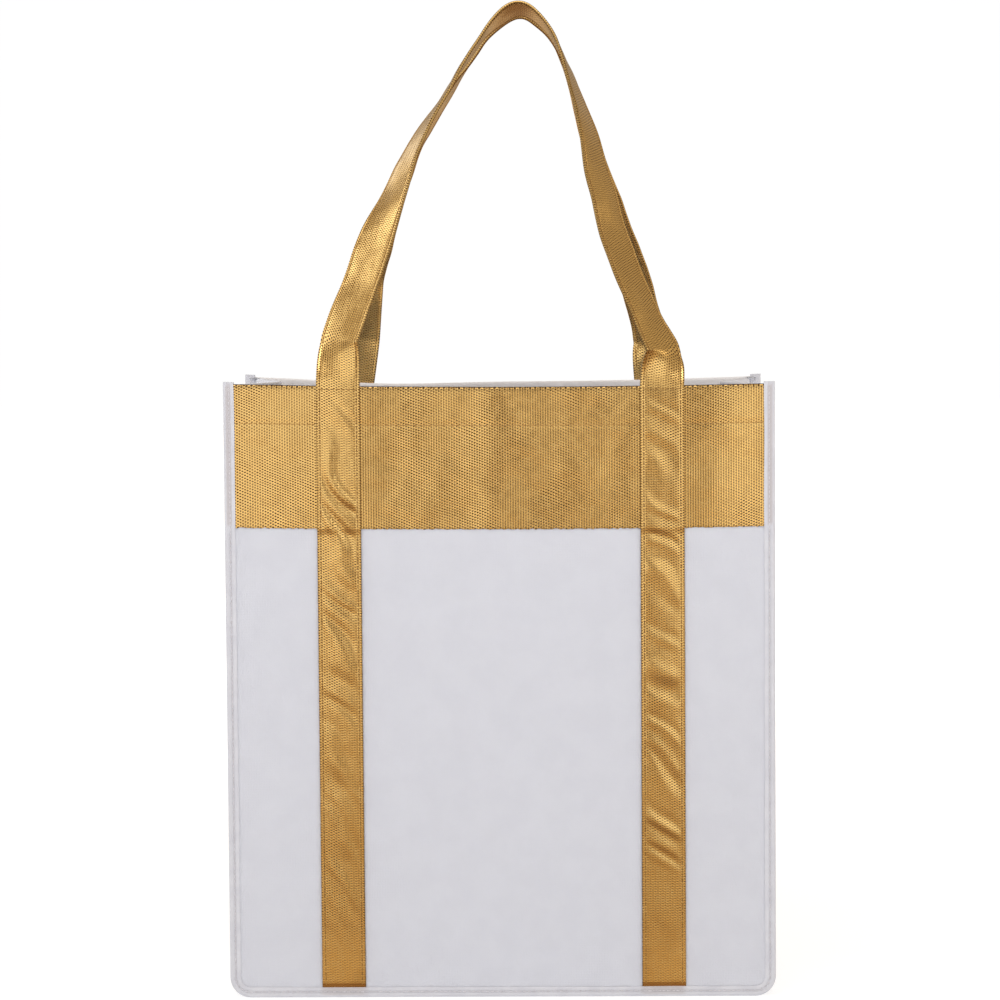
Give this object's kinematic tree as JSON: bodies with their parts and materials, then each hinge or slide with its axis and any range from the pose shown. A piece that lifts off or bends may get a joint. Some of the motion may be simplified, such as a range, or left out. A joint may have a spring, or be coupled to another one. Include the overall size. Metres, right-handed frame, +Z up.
{
  "type": "gift tote bag",
  "caption": "Gusseted white non-woven gift tote with gold rim bands, gold straps sewn to front and back, looped swinging handles and a loose base board.",
  "frame": {"origin": "centre of the footprint, on the surface that the bag stands on", "axes": "+Z up, front panel faces -Y, +X to the right when looking at the front"},
  "size_m": [0.318, 0.1511, 0.58],
  "materials": {
    "white_nonwoven": "matte spunbond",
    "gold_laminate": "metallic laminate, fine weave",
    "white_tape": "matte tape",
    "gold_thread": "matte thread",
    "white_thread": "matte thread",
    "board": "matte sheet"
  },
  "bodies": {
    "bag": {"front_panel": "white_nonwoven", "back_panel": "white_nonwoven", "left_gusset": "white_nonwoven", "right_gusset": "white_nonwoven", "bottom_panel": "white_nonwoven", "front_band": "gold_laminate", "back_band": "gold_laminate", "front_binding": "white_tape", "back_binding": "white_tape", "front_left_strap": "gold_laminate", "front_right_strap": "gold_laminate", "back_left_strap": "gold_laminate", "back_right_strap": "gold_laminate", "front_hem_thread": "gold_thread", "back_hem_thread": "gold_thread", "left_gusset_hem_thread": "white_thread", "right_gusset_hem_thread": "white_thread", "front_left_strap_thread": "gold_thread", "front_right_strap_thread": "gold_thread", "back_left_strap_thread": "gold_thread", "back_right_strap_thread": "gold_thread", "front_binding_thread": "white_thread", "back_binding_thread": "white_thread"},
    "front_handle": {"front_handle": "gold_laminate", "front_handle_thread": "gold_thread"},
    "back_handle": {"back_handle": "gold_laminate", "back_handle_thread": "gold_thread"},
    "base_board": {"base_board": "board"}
  },
  "joints": [
    {"name": "front_handle_swing", "type": "hinge", "parent": "bag", "child": "front_handle", "pos_m": [0, -0.0723, 0.356], "axis": [1, 0, 0], "range_deg": [0, 165]},
    {"name": "back_handle_swing", "type": "hinge", "parent": "bag", "child": "back_handle", "pos_m": [0, 0.0723, 0.356], "axis": [-1, 0, 0], "range_deg": [0, 165]},
    {"name": "base_board_lift", "type": "slide", "parent": "bag", "child": "base_board", "axis": [0, 0, 1], "range_m": [0, 0.19]}
  ]
}
